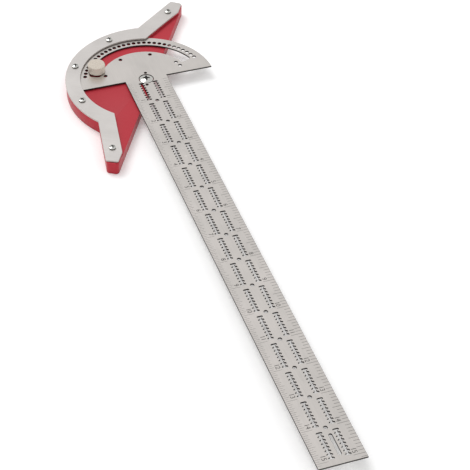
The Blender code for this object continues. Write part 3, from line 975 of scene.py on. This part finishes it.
knob_profile = [(STUD_TIP_R, STUD_TIP_Z), (STUD_R, STUD_EASED_Z), (STUD_R, KNOB_FOOT),
                (KNOB_R - KNOB_CHAMFER, KNOB_FOOT), (KNOB_R, KNOB_FOOT + KNOB_CHAMFER),
                (KNOB_R, KNOB_TOP - KNOB_CHAMFER), (KNOB_R - KNOB_CHAMFER, KNOB_TOP),
                (MARK_R, KNOB_TOP), (MARK_LOW_R, KNOB_TOP - MARK_DEPTH)]
knob = turned("knurled_knob", KNOB_PLACE, knob_profile, 2 * KNOB_TEETH)
report(knob)

# %% Knurl its grip
GRIP_SKIN = 0.1 * MM


def on_knurl(point):
    """Whether a point of the grip lies on a line that is drawn in."""
    x, y = point.x - KNOB_PLACE[0], point.y - KNOB_PLACE[1]
    line = round(math.degrees(math.atan2(y, x)) * KNOB_TEETH / 180)
    return abs(math.hypot(x, y) - KNOB_R) < GRIP_SKIN and line % 2 == 1


def is_grip(face):
    x, y = face.center.x - KNOB_PLACE[0], face.center.y - KNOB_PLACE[1]
    return abs(face.normal.z) < 0.3 and math.hypot(x, y) > KNOB_R - 2 * GRIP_SKIN


pick_points(knob, on_knurl)
drawn_in = 1 - KNURL_DEPTH / KNOB_R
bpy.ops.transform.resize(value=(drawn_in, drawn_in, 1), center_override=(*KNOB_PLACE, KNOB_TOP))
bpy.ops.object.mode_set(mode="OBJECT")
# The grip's faces take the paler tone: painted light on the knob's side.
give(knob, KNOB_NICKEL, KNOB_GRIP_PAINTED_LIGHT, is_grip)
smooth(knob, 25)
print("teeth of the grip:", KNOB_TEETH)

# %% [markdown]
# ## Who moves with what
# Each piece takes the place of its solid and rides on the body that carries it: the rule and
# its scale swing, the knob turns, and the rest is the head.

# %% Tie the pieces to the solids
ties = [(red_head, "head_body", "head", "red_aluminium"),
        (steel_frame, "cover_frame", "head", "satin_steel"),
        (pivot, "pivot_screw", "head", "bright_steel"),
        (rule, "protractor_rule", "rule", "satin_steel"),
        (knob, "lock_knob", "knob", "knob_metal")]
for number, screw in enumerate(frame_screws, start=1):
    ties.append((screw, f"frame_screw_{number}", "head", "bright_steel"))
for piece, node, body, finish_slot in ties:
    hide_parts(node)
    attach(piece, body)
for marks in (scale_lines, scale_figures):
    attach(marks, "rule")
print("pieces that stand for a solid:", len(ties))

# %% [markdown]
# ## Camera
# A long lens from well above the horizon, as for a catalogue picture. Its place and turn came
# from matching known corners of the tool to where they lie in the picture.

# %% Camera
CAMERA_PLACE = (-0.9460, -0.2360, 0.7483)
CAMERA_TURN = (47.417, -1.725, -78.565)
CAMERA_LENS = 125.26

camera_data = bpy.data.cameras.new("camera")
camera_data.lens = CAMERA_LENS
camera_data.sensor_width = 36.0
camera_data.clip_start = 0.01
camera = bpy.data.objects.new("camera", camera_data)
bpy.context.collection.objects.link(camera)
camera.location = CAMERA_PLACE
camera.rotation_euler = [math.radians(angle) for angle in CAMERA_TURN]
bpy.context.scene.camera = camera
print("camera's distance in m:", round(camera.location.length, 3))

# %% [markdown]
# ## Studio
# A plain pale floor, a soft even world and one large soft lamp behind the tool. The world is
# white where the camera or a mirror looks. The floor gets a little glow of its own there, just
# enough to lift it to plain white in the open, so that it still darkens under the tool. It
# lies a hair below the head, whose underside would flicker with it in one plane.

# %% World
SOFT_LIGHT = 0.72


def seen_rays(tree):
    """1 where a camera, glossy or transmission ray looks, and 0 for the rays that light things."""
    path = add_node(tree, "ShaderNodeLightPath")
    seen = add_node(tree, "ShaderNodeMath", {"operation": "MAXIMUM"}, {
        0: path.outputs["Is Camera Ray"], 1: path.outputs["Is Glossy Ray"]})
    return add_node(tree, "ShaderNodeMath", {"operation": "MAXIMUM"}, {
        0: seen.outputs[0], 1: path.outputs["Is Transmission Ray"]}).outputs[0]


world = bpy.data.worlds.new("studio")
bpy.context.scene.world = world
world.use_nodes = True
studio = world.node_tree
studio.nodes.clear()
soft_light = add_node(studio, "ShaderNodeBackground", inputs={
    "Color": colour("#ffffff"), "Strength": SOFT_LIGHT})
backdrop = add_node(studio, "ShaderNodeBackground", inputs={
    "Color": colour("#ffffff"), "Strength": 1.0})
either = add_node(studio, "ShaderNodeMixShader", inputs={
    0: seen_rays(studio), 1: soft_light.outputs[0], 2: backdrop.outputs[0]})
add_node(studio, "ShaderNodeOutputWorld", inputs={"Surface": either.outputs[0]})
print("soft light:", soft_light.inputs["Strength"].default_value)

# %% Floor
FLOOR_SIDE = 8.0
FLOOR_DROP = 0.2 * MM
FLOOR_GLOW = 0.15

deselect_all()
bpy.ops.mesh.primitive_plane_add(size=FLOOR_SIDE, location=(0, 0, -FLOOR_DROP))
floor = bpy.context.object
floor.name = "floor"
floor_finish, floor_tree, floor_shader = new_finish(
    "matt_pale_floor", Base_Color=colour("#fcfcfc"), Roughness=0.9)
glow_where_seen = add_node(floor_tree, "ShaderNodeMath", {"operation": "MULTIPLY"}, {
    0: seen_rays(floor_tree), 1: FLOOR_GLOW})
glow = add_node(floor_tree, "ShaderNodeEmission", inputs={
    "Color": colour("#ffffff"), "Strength": glow_where_seen.outputs[0]})
lifted = add_node(floor_tree, "ShaderNodeAddShader", inputs={
    0: floor_shader.outputs[0], 1: glow.outputs[0]})
floor_tree.links.new(lifted.outputs[0], floor_tree.nodes["Material Output"].inputs["Surface"])
floor.data.materials.append(floor_finish)
print("floor's side in m:", floor.dimensions.x)

# %% Lamp
LAMP_PLACE = (0.5, 0.87, 1.73)
LAMP_WIDTH = 1.2
LAMP_WATTS = 15

lamp_data = bpy.data.lights.new("soft_lamp", "AREA")
lamp_data.shape = "DISK"
lamp_data.size = LAMP_WIDTH
lamp_data.energy = LAMP_WATTS
lamp = bpy.data.objects.new("soft_lamp", lamp_data)
bpy.context.collection.objects.link(lamp)
lamp.location = LAMP_PLACE
lamp.rotation_euler = (-lamp.location).to_track_quat("-Z", "Y").to_euler()
bpy.context.scene.view_settings.view_transform = "Standard"
print("lamp's distance in m:", round(lamp.location.length, 2))
